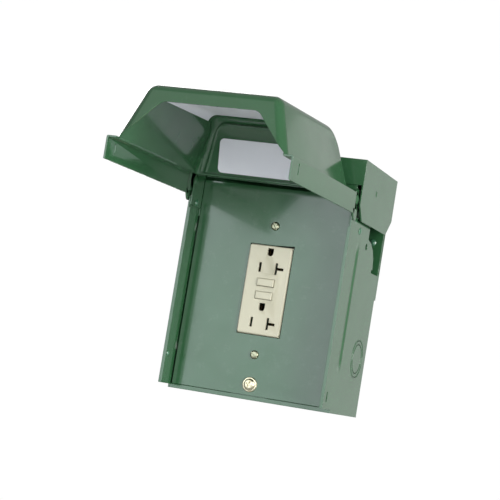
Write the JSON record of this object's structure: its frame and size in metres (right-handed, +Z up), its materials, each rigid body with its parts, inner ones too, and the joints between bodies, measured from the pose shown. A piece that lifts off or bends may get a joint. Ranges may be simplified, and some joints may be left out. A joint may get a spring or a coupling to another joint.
{
  "type": "power outlet panel",
  "caption": "Green steel outdoor outlet box with a hinged drawn lid, a rain hood and a recessed panel that carries a ground-fault duplex receptacle.",
  "frame": {"origin": "centre of the four wall screw holes, on the rear face of the mounting plate", "axes": "+X to the right seen from the front, +Y backwards into the wall, +Z up"},
  "size_m": [0.1344, 0.2496, 0.2018],
  "materials": {
    "green_paint": "semi-gloss green powder paint on steel sheet",
    "label_film": "plain white film",
    "brass": "brass plated screw",
    "zinc_steel": "zinc plated steel",
    "green_screw": "green dyed screw",
    "almond_plastic": "moulded almond plastic",
    "dark_plastic": "moulded dark plastic",
    "spring_steel": "drawn spring wire",
    "contact_brass": "stamped brass strip",
    "board_green": "glass fibre board with lacquer",
    "copper_wire": "enamelled copper winding",
    "tinned_bar": "tin plated aluminium bar"
  },
  "bodies": {
    "root": {"box_body": "green_paint", "bottom_plate": "green_paint", "hood": "green_paint", "header_rail": "green_paint", "hinge_bracket_left": "green_paint", "hinge_bracket_right": "green_paint", "bracket_rivets": "green_paint", "hinge_rivet_left": "green_paint", "hinge_rivet_right": "green_paint", "hem_rivet": "green_paint", "dead_front_panel": "green_paint", "dead_front_bracket": "green_paint", "mounting_plate": "green_paint", "spacer_rivets": "green_paint", "dead_front_screw": "brass", "plate_screws": "brass", "brass_terminal_screws": "brass", "silver_terminal_screws": "zinc_steel", "ground_terminal_screw": "green_screw", "mounting_yoke": "zinc_steel", "housing_screws": "zinc_steel", "receptacle_face": "almond_plastic", "receptacle_housing": "dark_plastic", "test_spring": "spring_steel", "reset_spring": "spring_steel", "hot_contacts": "contact_brass", "neutral_contacts": "contact_brass", "ground_contacts": "contact_brass", "circuit_board": "board_green", "sensing_coil": "copper_wire", "trip_solenoid": "copper_wire", "ground_bar": "tinned_bar", "ground_bar_screws": "zinc_steel"},
    "lid": {"lid_shell": "green_paint", "lid_label": "label_film"},
    "test_button": {"test_button": "almond_plastic"},
    "reset_button": {"reset_button": "almond_plastic"},
    "trip_plunger": {"solenoid_plunger": "zinc_steel"}
  },
  "joints": [
    {"name": "lid_hinge", "type": "hinge", "parent": "root", "child": "lid", "pos_m": [0, -0.0915, 0.073], "axis": [1, 0, 0], "range_deg": [-26.5, 89]},
    {"name": "test_button_press", "type": "slide", "parent": "root", "child": "test_button", "axis": [0, 1, 0], "range_m": [0, 0.0015], "stiffness_N_per_m": 800, "springref_m": -0.001, "deforming": ["test_spring"]},
    {"name": "reset_button_press", "type": "slide", "parent": "root", "child": "reset_button", "axis": [0, 1, 0], "range_m": [0, 0.0015], "stiffness_N_per_m": 800, "springref_m": -0.001, "deforming": ["reset_spring"]},
    {"name": "plunger_slide", "type": "slide", "parent": "root", "child": "trip_plunger", "axis": [0, 0, 1], "range_m": [0, 0.002], "stiffness_N_per_m": 100, "springref_m": -0.003}
  ]
}
